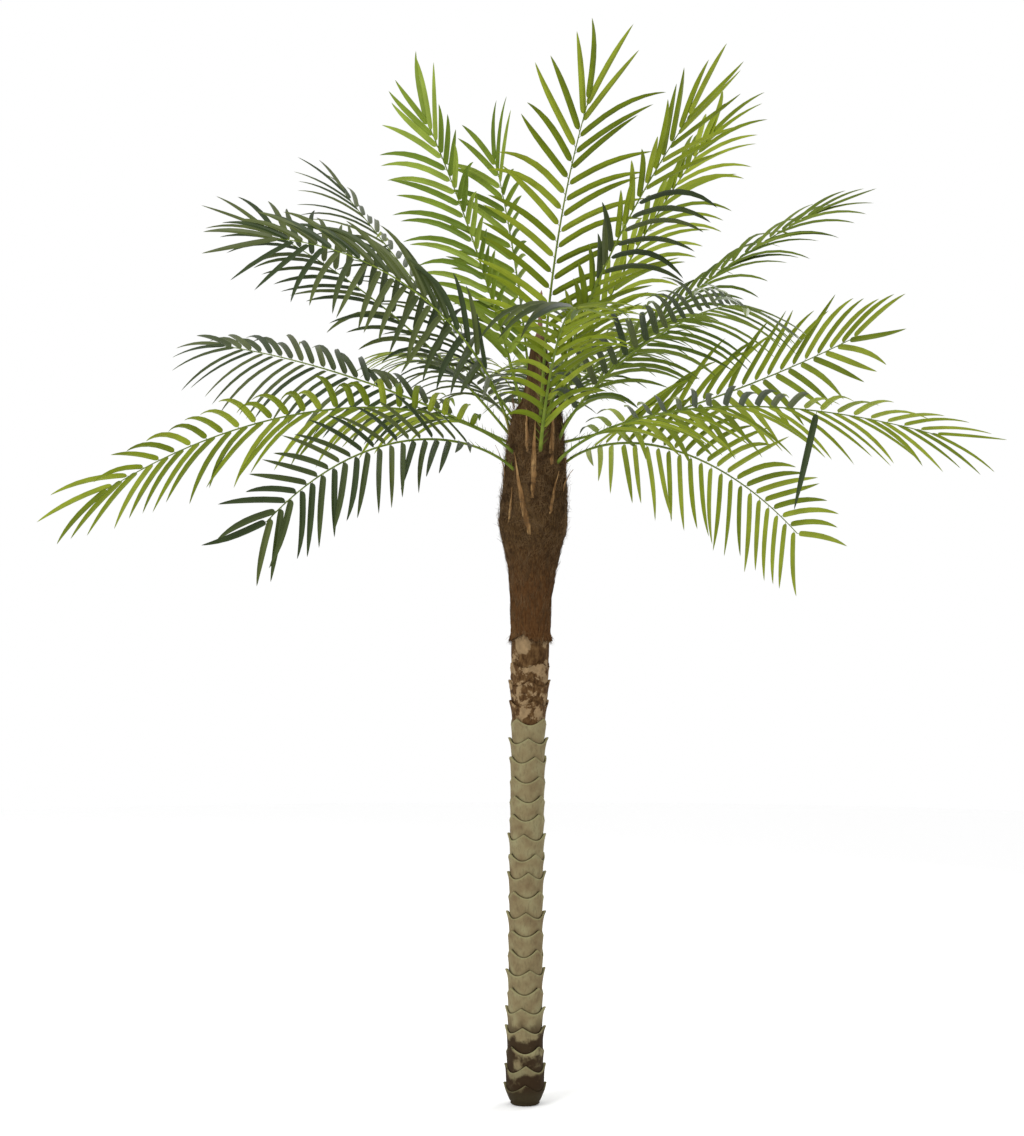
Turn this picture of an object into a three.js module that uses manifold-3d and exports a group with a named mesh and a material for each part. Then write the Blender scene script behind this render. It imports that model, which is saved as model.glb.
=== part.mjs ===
// Artificial date palm, 3 m tall, in millimetres with +Z up and the flat cut of the
// trunk on the ground at the origin. The front of the plant faces -Y.
//
// trunk         one piece from the flat cut to the spear in the middle of the crown
// fibre_sleeve  the coir jacket round the trunk's head, where the fronds plug in
// husk_*        dry leaf-base strips standing on the sleeve
// frond_*       one arching rib each, with two rows of blades

import * as THREE from 'three';
import Module from 'manifold-3d';

const wasm = await Module();
wasm.setup();
const { Manifold, Mesh } = wasm;

// ---------------------------------------------------------------- sizes

const HEIGHT = 2110;          // height at which the lean is measured
const LEAN = 40;              // how far the trunk has wandered to +X by then
const CLEAR = 0.3;            // gap left between pieces that meet
const SLACK = 1.1;            // factor on that gap where facets would narrow it

const TRUNK = {
  sides: 16,                  // samples round the trunk
  rings: 24,                  // moulded leaf-scar rings
  pitch: 53,                  // height of a ring
  radius: 46.5,               // body of a ring
  flareAtRoot: 8,             // extra radius at the cut
  flareHeight: 90,            // height over which that fades
  horn: 6,                    // how far a cusp stands out
  lip: 2.5,                   // how far the rim stands out between cusps
  cuspDrop: 15,               // how far the rim sags between two cusps
  cutRound: 7,                // rounding above the cut
  coreFoot: 45.5, coreTop: 46,  // radii of the core inside the sleeve
};

// Above the sleeve: the spindle and the spear on it, as [height, radius].
const SPINDLE = [[2013, 30], [2110, 19], [2130, 7], [2250, 3.5]];

// Outer profile of the coir sleeve, as [height, radius].
const SLEEVE = [
  [1276, 57], [1400, 57], [1470, 66], [1530, 78], [1590, 92], [1640, 93],
  [1720, 86], [1800, 80], [1860, 75], [1916, 68],
];

const SLEEVE_FOOT = SLEEVE[0][0];
const SLEEVE_TOP = SLEEVE.at(-1)[0];
const CORE_FOOT = SLEEVE_FOOT + 6;   // the last rim below tucks into the sleeve

const HUSK = {
  thick: 3, sunk: 1.5, stations: 4,
  footShare: 0.16, tipShare: 0.96,     // which part of a sine arch its outline is
  slimmest: 1.2,                       // least half width, at the tip
  crown: 0.6,                          // width of the outer face against the inner one
};

// Each husk: azimuth of its foot, how far it turns going up, height of its foot,
// length, width, and how far its tip stands off the sleeve.
const HUSKS = [
  { azimuth: 263, turn: -34, foot: 1572, length: 225, width: 19, lift: 5 },
  { azimuth: 266, turn: 1, foot: 1672, length: 214, width: 19, lift: 6 },
  { azimuth: 303, turn: 2, foot: 1764, length: 168, width: 13, lift: 8 },
  { azimuth: 253, turn: -6, foot: 1800, length: 118, width: 11, lift: 8 },
  { azimuth: 298, turn: 16, foot: 1630, length: 116, width: 11, lift: 6 },
  { azimuth: 192, turn: -3, foot: 1712, length: 108, width: 13, lift: 30 },
  { azimuth: 187, turn: -2, foot: 1838, length: 74, width: 10, lift: 26 },
  { azimuth: 350, turn: 4, foot: 1722, length: 120, width: 13, lift: 10 },
  { azimuth: 4, turn: -3, foot: 1842, length: 78, width: 11, lift: 22 },
  { azimuth: 335, turn: 8, foot: 1690, length: 62, width: 12, lift: 20 },
  { azimuth: 222, turn: 8, foot: 1606, length: 96, width: 10, lift: 4 },
  { azimuth: 30, turn: -12, foot: 1612, length: 190, width: 18, lift: 6 },
  { azimuth: 64, turn: 6, foot: 1684, length: 160, width: 18, lift: 8 },
  { azimuth: 92, turn: -4, foot: 1590, length: 210, width: 20, lift: 6 },
  { azimuth: 124, turn: 8, foot: 1700, length: 150, width: 17, lift: 8 },
  { azimuth: 152, turn: -10, foot: 1620, length: 180, width: 18, lift: 5 },
];

const RIB = {
  bare: 0.17,                 // share of the rib with no blades
  petioleStations: 6,
  bladeStations: 34,          // one blade on each stretch, sides taken in turn
  halfWidth: 7, halfWidthTip: 2.2,
  depth: 10, depthTip: 4,
  sunk: 16,                   // stretch behind the seat, cut off at the sleeve
};

const BLADE = {
  length: 250, width: 21, widthTip: 15, thick: 3.4,
  closeBend: 6,               // how late the rows close towards the end of the rib
  liftTip: 0.6,               // share of the lift left there
  stray: 10,                  // spread of those angles, degrees
  sagTip: 0.25, sagTipBend: 5, sagStray: 0.5,   // share of the hanging left at the end
  sagBend: 1.2,               // how far out along a blade it turns down
  footLength: 0.8, endLength: 0.86, lengthStray: 0.12,   // against the longest blade
  steps: 10, widest: 4,       // steps along a blade, and the step it is widest at
  end: 235,                   // blade in line with the end of the rib
};

// Steps between the seeds of neighbouring fronds and blades.
const SEED_PER_FROND = 97;
const SEED_PER_BLADE = 7;

// Each frond. Of its rib: azimuth at the foot and how far it swings round, height of the
// foot, elevation at foot and end with the easing between them, length, and how far it is
// rolled about itself. Of its blades: angle to the rib in the right row, in the left row
// and close to the end, lift above the frond's plane, and how strongly they hang.
const FRONDS = [
  {
    name: 'frond_left_long', azimuth: 216, swing: -34, foot: 1800, rise: 40, end: -32, ease: 0.58,
    length: 1190, roll: 42, right: 50, left: 56, close: 12, lift: 24, sag: 1.2,
  },
  {
    name: 'frond_left_drooping', azimuth: 224, swing: 6, foot: 1752, rise: 36, end: -38, ease: 0.62,
    length: 960, roll: -60, right: 50, left: 44, close: 16, lift: 24, sag: 0.4,
  },
  {
    name: 'frond_left_level', azimuth: 152, swing: -14, foot: 1825, rise: 25, end: 9, ease: 1,
    length: 1120, roll: -42, right: 38, left: 66, close: 6, lift: 4, sag: 0.9,
  },
  {
    name: 'frond_left_arching', azimuth: 172, swing: -4, foot: 1862, rise: 76, end: 6, ease: 0.9,
    length: 920, roll: -58, right: 26, left: 100, close: 14, lift: 24, sag: 0.7,
  },
  {
    name: 'frond_left_slanting', azimuth: 160, swing: -5, foot: 1848, rise: 50, end: 27, ease: 1,
    length: 990, roll: -30, right: 54, left: 54, close: 12, lift: 24, sag: 0.8,
  },
  {
    name: 'frond_left_back', azimuth: 134, swing: -4, foot: 1880, rise: 46, end: 40, ease: 1,
    length: 1080, roll: 6, right: 40, left: 40, close: 12, lift: -6, sag: 0.7,
  },
  {
    name: 'frond_left_upright', azimuth: 122, swing: 4, foot: 1905, rise: 66, end: 55, ease: 1,
    length: 1030, roll: -70, right: 94, left: 38, close: 12, lift: 44, sag: 0.8,
  },
  {
    name: 'frond_back_upright', azimuth: 100, swing: 8, foot: 1905, rise: 67, end: 55, ease: 1,
    length: 890, roll: -58, right: 112, left: 38, close: 12, lift: 44, sag: 0.6,
  },
  {
    name: 'frond_top', azimuth: 279, swing: 16, foot: 1900, rise: 74, end: 54, ease: 1,
    length: 885, roll: 0, right: 48, left: 56, close: 8, lift: 16, sag: 0.5,
  },
  {
    name: 'frond_front', azimuth: 279, swing: -4, foot: 1805, rise: 62, end: -12, ease: 0.9,
    length: 840, roll: 0, right: 54, left: 54, close: 12, lift: 24, sag: 0.8,
  },
  {
    name: 'frond_right_upright', azimuth: 294, swing: 22, foot: 1892, rise: 54, end: 46, ease: 1,
    length: 960, roll: -4, right: 24, left: 64, close: 12, lift: 18, sag: 0.35,
  },
  {
    name: 'frond_right_back', azimuth: 40, swing: 0, foot: 1892, rise: 66, end: 47, ease: 0.7,
    length: 1060, roll: 20, right: 46, left: 18, close: 12, lift: 24, sag: 0.9,
  },
  {
    name: 'frond_right_slanting', azimuth: 14, swing: -2, foot: 1870, rise: 52, end: 28, ease: 1,
    length: 960, roll: 22, right: 24, left: 30, close: 8, lift: 14, sag: 0.9,
  },
  {
    name: 'frond_right_front', azimuth: 327, swing: -52, foot: 1838, rise: 68, end: -12, ease: 0.55,
    length: 1040, roll: -26, right: 50, left: 50, close: 18, lift: 16, sag: 0.9,
  },
  {
    name: 'frond_right_level', azimuth: 24, swing: 0, foot: 1828, rise: 13, end: 25, ease: 1,
    length: 1000, roll: -70, right: 44, left: 50, close: 18, lift: 14, sag: 0.5,
  },
  {
    name: 'frond_right_long', azimuth: 320, swing: 32, foot: 1773, rise: 50, end: -16, ease: 0.4,
    length: 1100, roll: -24, right: 68, left: 40, close: 24, lift: 0, sag: 0.7,
  },
  {
    name: 'frond_right_drooping', azimuth: 38, swing: 2, foot: 1752, rise: 62, end: -37, ease: 0.38,
    length: 1020, roll: -75, right: 52, left: 54, close: 40, lift: 10, sag: 0.5,
  },
  {
    name: 'frond_rear_right', azimuth: 66, swing: 0, foot: 1862, rise: 36, end: 10, ease: 1,
    length: 980, roll: 0, right: 54, left: 54, close: 12, lift: 24, sag: 1.1,
  },
  {
    name: 'frond_rear_left', azimuth: 116, swing: -6, foot: 1846, rise: 32, end: 4, ease: 1,
    length: 980, roll: 0, right: 54, left: 54, close: 12, lift: 24, sag: 1.1,
  },
  {
    name: 'frond_rear_low', azimuth: 86, swing: 0, foot: 1822, rise: 36, end: 0, ease: 1,
    length: 960, roll: 0, right: 54, left: 54, close: 12, lift: 24, sag: 1.1,
  },
];

const MATERIALS = {
  bark: new THREE.MeshStandardMaterial({ color: 0x7d6d50, roughness: 0.7, metalness: 0 }),
  fibre: new THREE.MeshStandardMaterial({ color: 0x4a3521, roughness: 1, metalness: 0 }),
  husk: new THREE.MeshStandardMaterial({ color: 0x7d6140, roughness: 0.85, metalness: 0 }),
  frond: new THREE.MeshStandardMaterial({
    color: 0x5f7a2c, roughness: 0.5, metalness: 0, side: THREE.DoubleSide,
  }),
};

// ---------------------------------------------------------------- small maths

const UP = new THREE.Vector3(0, 0, 1);
const radians = THREE.MathUtils.degToRad;
const mix = THREE.MathUtils.lerp;

const leanAt = (z) => LEAN * (Math.max(z, 0) / HEIGHT) ** 2;

// A number in -0.5..0.5 that is always the same for the same seed.
function scatter(seed) {
  const wave = Math.sin(seed * 12.9898 + 4.1414) * 43758.5453;
  return wave - Math.floor(wave) - 0.5;
}

// The radius of a [height, radius] profile at a height.
function radiusAt(profile, z) {
  let k = 1;
  while (k < profile.length - 1 && profile[k][0] < z) k += 1;
  const [z0, r0] = profile[k - 1];
  const [z1, r1] = profile[k];
  return mix(r0, r1, THREE.MathUtils.clamp((z - z0) / (z1 - z0), 0, 1));
}

// A point at an azimuth, a radius and a height, measured from the leaning axis.
function around(azimuth, radius, z) {
  return new THREE.Vector3(leanAt(z) + radius * Math.cos(azimuth), radius * Math.sin(azimuth), z);
}

// ---------------------------------------------------------------- solids

// Points and triangles that become one closed solid.
class Surface {
  constructor() {
    this.points = [];
    this.triangles = [];
  }

  add(point) {
    this.points.push(point);
    return this.points.length - 1;
  }

  ring(points) {
    return points.map((point) => this.add(point));
  }

  triangle(a, b, c, flip = false) {
    this.triangles.push(flip ? [a, c, b] : [a, b, c]);
  }

  quad(a, b, c, d, flip = false) {
    this.triangle(a, b, c, flip);
    this.triangle(a, c, d, flip);
  }

  // Joins two rings of the same count, the second one further along.
  band(near, far) {
    near.forEach((_, k) => {
      const next = (k + 1) % near.length;
      this.quad(near[k], near[next], far[next], far[k]);
    });
  }

  // Closes a ring with a fan about its middle, facing back or on along the loft.
  close(ring, facingBack) {
    const middle = new THREE.Vector3();
    ring.forEach((index) => middle.add(this.points[index]));
    const hub = this.add(middle.divideScalar(ring.length));
    ring.forEach((index, k) => this.triangle(hub, index, ring[(k + 1) % ring.length], facingBack));
  }

  solid() {
    const vertProperties = new Float32Array(this.points.flatMap((point) => point.toArray()));
    const triVerts = new Uint32Array(this.triangles.flat());
    return new Manifold(new Mesh({ numProp: 3, vertProperties, triVerts }));
  }
}

// A solid through rings of points, closed at both ends or back on its first ring.
function loft(rings, endless = false) {
  const surface = new Surface();
  const indexed = rings.map((ring) => surface.ring(ring));
  indexed.slice(1).forEach((ring, k) => surface.band(indexed[k], ring));
  if (endless) {
    surface.band(indexed.at(-1), indexed[0]);
  } else {
    surface.close(indexed[0], true);
    surface.close(indexed.at(-1), false);
  }
  return surface.solid();
}

const turn = (count) => Array.from({ length: count }, (_, k) => (2 * Math.PI * k) / count);

// A round ring about the leaning axis; radius and height may depend on the azimuth.
function roundRing(radius, z) {
  return turn(TRUNK.sides).map((azimuth) => {
    const height = typeof z === 'function' ? z(azimuth) : z;
    const reach = typeof radius === 'function' ? radius(azimuth) : radius;
    return around(azimuth, reach, height);
  });
}

// A named mesh from a solid in plant coordinates, placed at its own seat.
function meshOf(name, solid, material, seat = new THREE.Vector3()) {
  const { numProp, vertProperties, triVerts } = solid.getMesh();
  const positions = new Float32Array(vertProperties.length / numProp * 3);
  for (let k = 0; k * numProp < vertProperties.length; k += 1) {
    seat.toArray().forEach((offset, axis) => {
      positions[3 * k + axis] = vertProperties[numProp * k + axis] - offset;
    });
  }
  const geometry = new THREE.BufferGeometry();
  geometry.setAttribute('position', new THREE.BufferAttribute(positions, 3));
  geometry.setIndex(Array.from(triVerts));
  geometry.computeVertexNormals();
  const mesh = new THREE.Mesh(geometry, material);
  mesh.name = name;
  mesh.position.copy(seat);
  return mesh;
}

// ---------------------------------------------------------------- trunk and sleeve

const ringRadius = (z) => TRUNK.radius + TRUNK.flareAtRoot * Math.exp(-z / TRUNK.flareHeight);
const coreRadius = (z) => {
  const share = (z - SLEEVE_FOOT) / (SLEEVE_TOP - SLEEVE_FOOT);
  return mix(TRUNK.coreFoot, TRUNK.coreTop, share);
};

// How far each moulded ring is turned about the trunk, from the lowest up, in degrees.
const RIM_TURNS = [
  0, 2, 45, -8, -12, 42, 14, 38, 44, 0, 48, 6,
  30, -10, 40, 48, 40, 22, 0, 50, 15, 0, 30, 5,
];

// One moulded ring: a rim with four cusps, and the step in to the ring above it.
function scarRing(index) {
  const peak = TRUNK.pitch * (index + 1);
  const phase = radians(RIM_TURNS[index]);
  const dip = (azimuth) => Math.abs(Math.sin(2 * (azimuth - phase)));
  const z = (azimuth) => peak - TRUNK.cuspDrop * dip(azimuth);
  const body = ringRadius(peak);
  const out = (azimuth) => body + mix(TRUNK.horn, TRUNK.lip, dip(azimuth));
  return [roundRing(out, z), roundRing(body - 1, (azimuth) => z(azimuth) + 1)];
}

function makeTrunk() {
  const cut = ringRadius(0) - TRUNK.cutRound;
  const rings = [roundRing(cut, 0), roundRing(ringRadius(0), TRUNK.cutRound)];
  for (let index = 0; index < TRUNK.rings; index += 1) rings.push(...scarRing(index));
  rings.push(roundRing(coreRadius(CORE_FOOT), CORE_FOOT));
  rings.push(roundRing(coreRadius(SLEEVE_TOP), SLEEVE_TOP));
  SPINDLE.forEach(([z, radius]) => rings.push(roundRing(radius, z)));
  return loft(rings);
}

function makeSleeve() {
  const outer = SLEEVE.map(([z, radius]) => roundRing(radius, z));
  const inner = [SLEEVE_TOP, SLEEVE_FOOT].map((z) => {
    const gap = SLACK * CLEAR / Math.cos(Math.PI / TRUNK.sides);
    return roundRing(coreRadius(Math.max(z, CORE_FOOT)) + gap, z);
  });
  return loft([...outer, ...inner], true);
}

// The sleeve and the trunk in it as one plug, grown by the clear gap: husks and
// fronds are cut to it.
function makeHeadCutter() {
  const rings = SLEEVE.map(([z, radius]) => roundRing(radius + SLACK * CLEAR, z));
  rings.push(roundRing(radiusAt(SLEEVE, SLEEVE_TOP) + SLACK * CLEAR, SLEEVE_TOP + CLEAR));
  return loft(rings);
}

// ---------------------------------------------------------------- husks

// A lens-shaped strip that lies on the sleeve and stands off it towards its tip.
function makeHusk({ azimuth, turn: swing, foot, length, width, lift }) {
  const rings = [];
  for (let k = 0; k <= HUSK.stations; k += 1) {
    const share = k / HUSK.stations;
    const z = foot + length * share;
    const angle = radians(azimuth + swing * share);
    const arch = Math.sin(Math.PI * mix(HUSK.footShare, HUSK.tipShare, share));
    const half = Math.max(HUSK.slimmest, (width / 2) * arch ** 0.8);
    const inside = radiusAt(SLEEVE, z) - HUSK.sunk + (lift + HUSK.sunk) * share ** 3;
    const side = new THREE.Vector3(-Math.sin(angle), Math.cos(angle), 0);
    const corner = (across, radius) => around(angle, radius, z).addScaledVector(side, across);
    rings.push([
      corner(-half, inside), corner(half, inside),
      corner(half * HUSK.crown, inside + HUSK.thick), corner(-half * HUSK.crown, inside + HUSK.thick),
    ].reverse());
  }
  return loft(rings);
}

// ---------------------------------------------------------------- fronds

// The place and the axes of a frond's rib at a share of its length: `along` it,
// `face` out of its upper side and `side` across it.
function ribFrames(frond, shares) {
  const steps = 60;
  const start = radians(frond.azimuth);
  const place = around(start, radiusAt(SLEEVE, frond.foot), frond.foot);
  const frameAt = (share) => {
    const heading = radians(frond.azimuth + frond.swing * share);
    const climb = radians(mix(frond.rise, frond.end, share ** frond.ease));
    const out = new THREE.Vector3(Math.cos(heading), Math.sin(heading), 0);
    const along = out.clone().multiplyScalar(Math.cos(climb)).addScaledVector(UP, Math.sin(climb));
    const flat = out.clone().multiplyScalar(-Math.sin(climb)).addScaledVector(UP, Math.cos(climb));
    const level = along.clone().cross(flat);
    const roll = radians(frond.roll * Math.min(1, 3 * share));
    const face = flat.multiplyScalar(Math.cos(roll)).addScaledVector(level, Math.sin(roll));
    return { along, face, side: along.clone().cross(face) };
  };
  const places = [place.clone()];
  for (let k = 0; k < steps; k += 1) {
    place.addScaledVector(frameAt((k + 0.5) / steps).along, frond.length / steps);
    places.push(place.clone());
  }
  return shares.map((share) => {
    const k = Math.min(Math.floor(share * steps), steps - 1);
    const point = places[k].clone().lerp(places[k + 1], share * steps - k);
    return { share, point, ...frameAt(share) };
  });
}

// The middle line of one blade and the axes at its widest place.
function bladeLine(frond, frame, hand, share, seed) {
  const opening = mix(hand > 0 ? frond.right : frond.left, frond.close, share ** BLADE.closeBend);
  const open = radians(opening + BLADE.stray * scatter(seed));
  const lift = frond.lift * mix(1, BLADE.liftTip, share);
  const rise = radians(lift + BLADE.stray * scatter(seed + 0.37));
  const out = frame.side.clone().multiplyScalar(hand * Math.cos(rise)).addScaledVector(frame.face, Math.sin(rise));
  const start = frame.along.clone().multiplyScalar(Math.cos(open)).addScaledVector(out, Math.sin(open));
  const hanging = frond.sag * mix(1, BLADE.sagTip, share ** BLADE.sagTipBend);
  const sag = hanging * (1 + BLADE.sagStray * scatter(seed + 0.71));
  const shorter = share < 0.1 ? BLADE.footLength : mix(BLADE.endLength, 1, Math.sin(Math.PI * share));
  const length = BLADE.length * shorter * (1 + BLADE.lengthStray * scatter(seed + 0.19));
  const place = frame.point.clone();
  const line = [place.clone()];
  const heading = new THREE.Vector3();
  let widest;
  for (let k = 0; k < BLADE.steps; k += 1) {
    const fall = sag * ((k + 0.5) / BLADE.steps) ** BLADE.sagBend;
    heading.copy(start).addScaledVector(UP, -fall).normalize();
    if (k === BLADE.widest) widest = heading.clone();
    place.addScaledVector(heading, length / BLADE.steps);
    line.push(place.clone());
  }
  const face = frame.face.clone().addScaledVector(widest, -frame.face.dot(widest)).normalize();
  return { middle: line[BLADE.widest], tip: line.at(-1), face, across: widest.clone().cross(face) };
}

// The corners of a blade after its root: front edge, back edge, keel line and tip.
function bladeCorners(frond, frame, hand, share, seed) {
  const { middle, tip, face, across } = bladeLine(frond, frame, hand, share, seed);
  const half = mix(BLADE.width, BLADE.widthTip, share) / 2;
  return [
    middle.clone().addScaledVector(across, -hand * half),
    middle.clone().addScaledVector(across, hand * half),
    middle.clone().addScaledVector(face, BLADE.thick),
    tip,
  ];
}

// Grows a blade out of four corners of the rib: low and high edge, near and far.
function growBlade(surface, [lowNear, lowFar, highFar, highNear], corners, flip) {
  const [far, near, keel, tip] = surface.ring(corners);
  surface.quad(lowNear, lowFar, far, near, flip);
  surface.triangle(lowFar, highFar, far, flip);
  surface.triangle(highFar, keel, far, flip);
  surface.triangle(highFar, highNear, keel, flip);
  surface.triangle(highNear, near, keel, flip);
  surface.triangle(highNear, lowNear, near, flip);
  surface.triangle(near, far, tip, flip);
  surface.triangle(far, keel, tip, flip);
  surface.triangle(keel, near, tip, flip);
}

// The three corners of a rib at a frame: the ridge on top, right edge and left edge.
function ribCorners({ share, point, face, side }) {
  const half = mix(RIB.halfWidth, RIB.halfWidthTip, share);
  const depth = mix(RIB.depth, RIB.depthTip, share);
  const base = point.clone().addScaledVector(face, -depth / 2);
  return [
    point.clone().addScaledVector(face, depth / 2),
    base.clone().addScaledVector(side, half),
    base.clone().addScaledVector(side, -half),
  ];
}

// The frames along a frond, from the root sunk in the head to the end of the rib.
function framesOf(frond) {
  const shares = [];
  for (let k = 0; k < RIB.petioleStations; k += 1) shares.push(RIB.bare * k / RIB.petioleStations);
  for (let k = 0; k <= RIB.bladeStations; k += 1) shares.push(mix(RIB.bare, 1, k / RIB.bladeStations));
  const frames = ribFrames(frond, shares);
  const [seat] = frames;
  return [{ ...seat, point: seat.point.clone().addScaledVector(seat.along, -RIB.sunk) }, ...frames];
}

// A three-sided rib with a blade in line at its end. bladeAt says which blade, if
// any, grows out of a stretch's side face in place of the plain face.
function frondSolid(frames, bladeAt) {
  const surface = new Surface();
  const rings = frames.map((frame) => surface.ring(ribCorners(frame)));
  surface.close(rings[0], true);
  for (let k = 0; k + 1 < rings.length; k += 1) {
    const [ridge, right, left] = rings[k];
    const [ridgeFar, rightFar, leftFar] = rings[k + 1];
    surface.quad(right, left, leftFar, rightFar);
    for (const hand of [-1, 1]) {
      const flip = hand < 0;
      const root = flip ? [left, leftFar, ridgeFar, ridge] : [right, rightFar, ridgeFar, ridge];
      const corners = bladeAt(k, hand, root.map((index) => surface.points[index]));
      if (corners) growBlade(surface, root, corners, flip);
      else surface.quad(...root, flip);
    }
  }
  const last = frames.at(-1);
  const tip = surface.add(last.point.clone().addScaledVector(last.along, BLADE.end));
  const tail = rings.at(-1);
  tail.forEach((index, k) => surface.triangle(index, tail[(k + 1) % tail.length], tip));
  return surface.solid();
}

// One blade on its own as a closed solid, to test it against its neighbours.
function bladeSolid(root, corners, flip) {
  const surface = new Surface();
  const ring = surface.ring(root);
  growBlade(surface, ring, corners, flip);
  surface.quad(...ring.reverse(), flip);
  return surface.solid();
}

const placed = (solid) => ({ solid, box: solid.boundingBox() });

// True if a placed solid keeps the clear gap to every one in the list.
function isClear({ solid, box }, others) {
  return others.every((other) => {
    const apart = box.min.some((low, axis) => (
      low > other.box.max[axis] + CLEAR || box.max[axis] < other.box.min[axis] - CLEAR));
    return apart || solid.minGap(other.solid, 2 * CLEAR) > CLEAR;
  });
}

// Grows all the fronds. A blade that would touch the trunk, a rib or an earlier
// blade is left out.
function makeFronds(obstacles, head) {
  const layouts = FRONDS.map(framesOf);
  const ribs = layouts.map((frames) => placed(frondSolid(frames, () => null)));
  const blades = [];
  return layouts.map((frames, number) => {
    const others = [...obstacles, ...ribs.filter((_, k) => k !== number)];
    const own = [];
    const bladeAt = (k, hand, root) => {
      const count = k - RIB.petioleStations - 1;
      if (count < 0 || hand !== (count % 2 ? 1 : -1)) return null;
      const share = count / (RIB.bladeStations - 1);
      const seed = SEED_PER_FROND * number + SEED_PER_BLADE * count;
      const corners = bladeCorners(FRONDS[number], frames[k], hand, share, seed);
      const blade = placed(bladeSolid(root, corners, hand < 0));
      const crossesOwn = own.some((other) => !blade.solid.intersect(other.solid).isEmpty());
      if (crossesOwn || !isClear(blade, [...others, ...blades])) return null;
      own.push(blade);
      return corners;
    };
    const solid = frondSolid(frames, bladeAt).subtract(head);
    blades.push(...own);
    return { name: FRONDS[number].name, seat: frames[1].point, solid };
  });
}

// ---------------------------------------------------------------- the plant

const palm = new THREE.Group();
const trunk = makeTrunk();
const head = makeHeadCutter();
palm.add(meshOf('trunk', trunk, MATERIALS.bark));
palm.add(meshOf('fibre_sleeve', makeSleeve(), MATERIALS.fibre));

const husks = HUSKS.map((husk) => makeHusk(husk).subtract(head));
husks.forEach((husk, number) => {
  palm.add(meshOf(`husk_${String(number + 1).padStart(2, '0')}`, husk, MATERIALS.husk));
});

for (const frond of makeFronds([trunk, ...husks].map(placed), head)) {
  palm.add(meshOf(frond.name, frond.solid, MATERIALS.frond, frond.seat));
}

export default palm;
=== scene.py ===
import math

import bmesh
import bpy
from mathutils import Matrix, Vector, noise


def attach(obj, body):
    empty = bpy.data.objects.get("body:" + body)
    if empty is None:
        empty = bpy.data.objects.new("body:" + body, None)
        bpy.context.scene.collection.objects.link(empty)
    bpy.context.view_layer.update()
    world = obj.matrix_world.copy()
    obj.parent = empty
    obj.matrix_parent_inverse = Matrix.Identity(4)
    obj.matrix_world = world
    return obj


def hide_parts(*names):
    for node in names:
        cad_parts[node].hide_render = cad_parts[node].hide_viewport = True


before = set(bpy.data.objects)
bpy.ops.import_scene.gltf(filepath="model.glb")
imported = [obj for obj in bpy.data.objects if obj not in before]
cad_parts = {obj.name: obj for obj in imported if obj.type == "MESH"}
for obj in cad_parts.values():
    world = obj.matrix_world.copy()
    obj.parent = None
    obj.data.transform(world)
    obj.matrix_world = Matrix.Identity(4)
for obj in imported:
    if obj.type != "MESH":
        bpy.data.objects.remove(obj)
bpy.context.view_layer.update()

# ---------------------------------------------------------------- studio
# The palm stands on a pale floor in front of a white sweep. The light is soft and
# comes from all round, with a broad lamp high on the left and a weaker one behind.

camera_data = bpy.data.cameras.new("studio_camera")
camera_data.sensor_fit = "VERTICAL"
camera_data.sensor_height = 36.0
camera_data.lens = 80.2
camera_data.clip_end = 60.0
camera = bpy.data.objects.new("studio_camera", camera_data)
camera.location = (-0.036, -7.0, 1.48)
camera.rotation_euler = (math.radians(90), 0.0, 0.0)
bpy.context.scene.collection.objects.link(camera)
bpy.context.scene.camera = camera
bpy.context.scene.view_settings.view_transform = "Standard"

world = bpy.data.worlds.new("white_sweep")
world.use_nodes = True
world.node_tree.nodes["Background"].inputs["Color"].default_value = (1.0, 1.0, 1.0, 1.0)
world.node_tree.nodes["Background"].inputs["Strength"].default_value = 1.0
bpy.context.scene.world = world


def soft_lamp(name, place, aim, size, power):
    """A square area lamp that looks at a point."""
    lamp_data = bpy.data.lights.new(name, "AREA")
    lamp_data.size = size
    lamp_data.energy = power
    lamp = bpy.data.objects.new(name, lamp_data)
    lamp.location = place
    lamp.rotation_euler = (Vector(aim) - Vector(place)).to_track_quat("-Z", "Y").to_euler()
    bpy.context.scene.collection.objects.link(lamp)


soft_lamp("key_lamp", (-2.6, -3.6, 4.4), (0.0, 0.0, 1.9), 2.2, 138.0)
soft_lamp("back_lamp", (2.8, 3.4, 3.6), (0.0, 0.0, 2.0), 2.4, 70.0)


def finished(name, shape, material_list):
    """Turns a bmesh into an object with its materials."""
    mesh = bpy.data.meshes.new(name)
    shape.to_mesh(mesh)
    shape.free()
    for material in material_list:
        mesh.materials.append(material)
    piece = bpy.data.objects.new(name, mesh)
    bpy.context.scene.collection.objects.link(piece)
    return piece


def new_material(name, roughness, specular=0.2):
    """A material with one shader, and the node tree to go on building in."""
    material = bpy.data.materials.new(name)
    material.use_nodes = True
    shader = material.node_tree.nodes["Principled BSDF"]
    shader.inputs["Roughness"].default_value = roughness
    shader.inputs["Specular IOR Level"].default_value = specular
    return material, material.node_tree, shader


floor_material, tree, shader = new_material("pale_floor", 0.9)
shader.inputs["Base Color"].default_value = (0.97, 0.97, 0.97, 1.0)
floor_shape = bmesh.new()
bmesh.ops.create_circle(floor_shape, cap_ends=True, segments=96, radius=9.0)
bmesh.ops.translate(floor_shape, verts=floor_shape.verts, vec=(0.0, 0.0, -0.002))
finished("studio_floor", floor_shape, [floor_material])

# ---------------------------------------------------------------- trunk tube
# The trunk is a moulded plastic tube in grey-green, a stack of cups whose rims have
# four horns each. It leans a little, widens at its foot and is cut flat there. The
# lowest cups are stained dark, and the top ones have coir glued on in patches.

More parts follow.
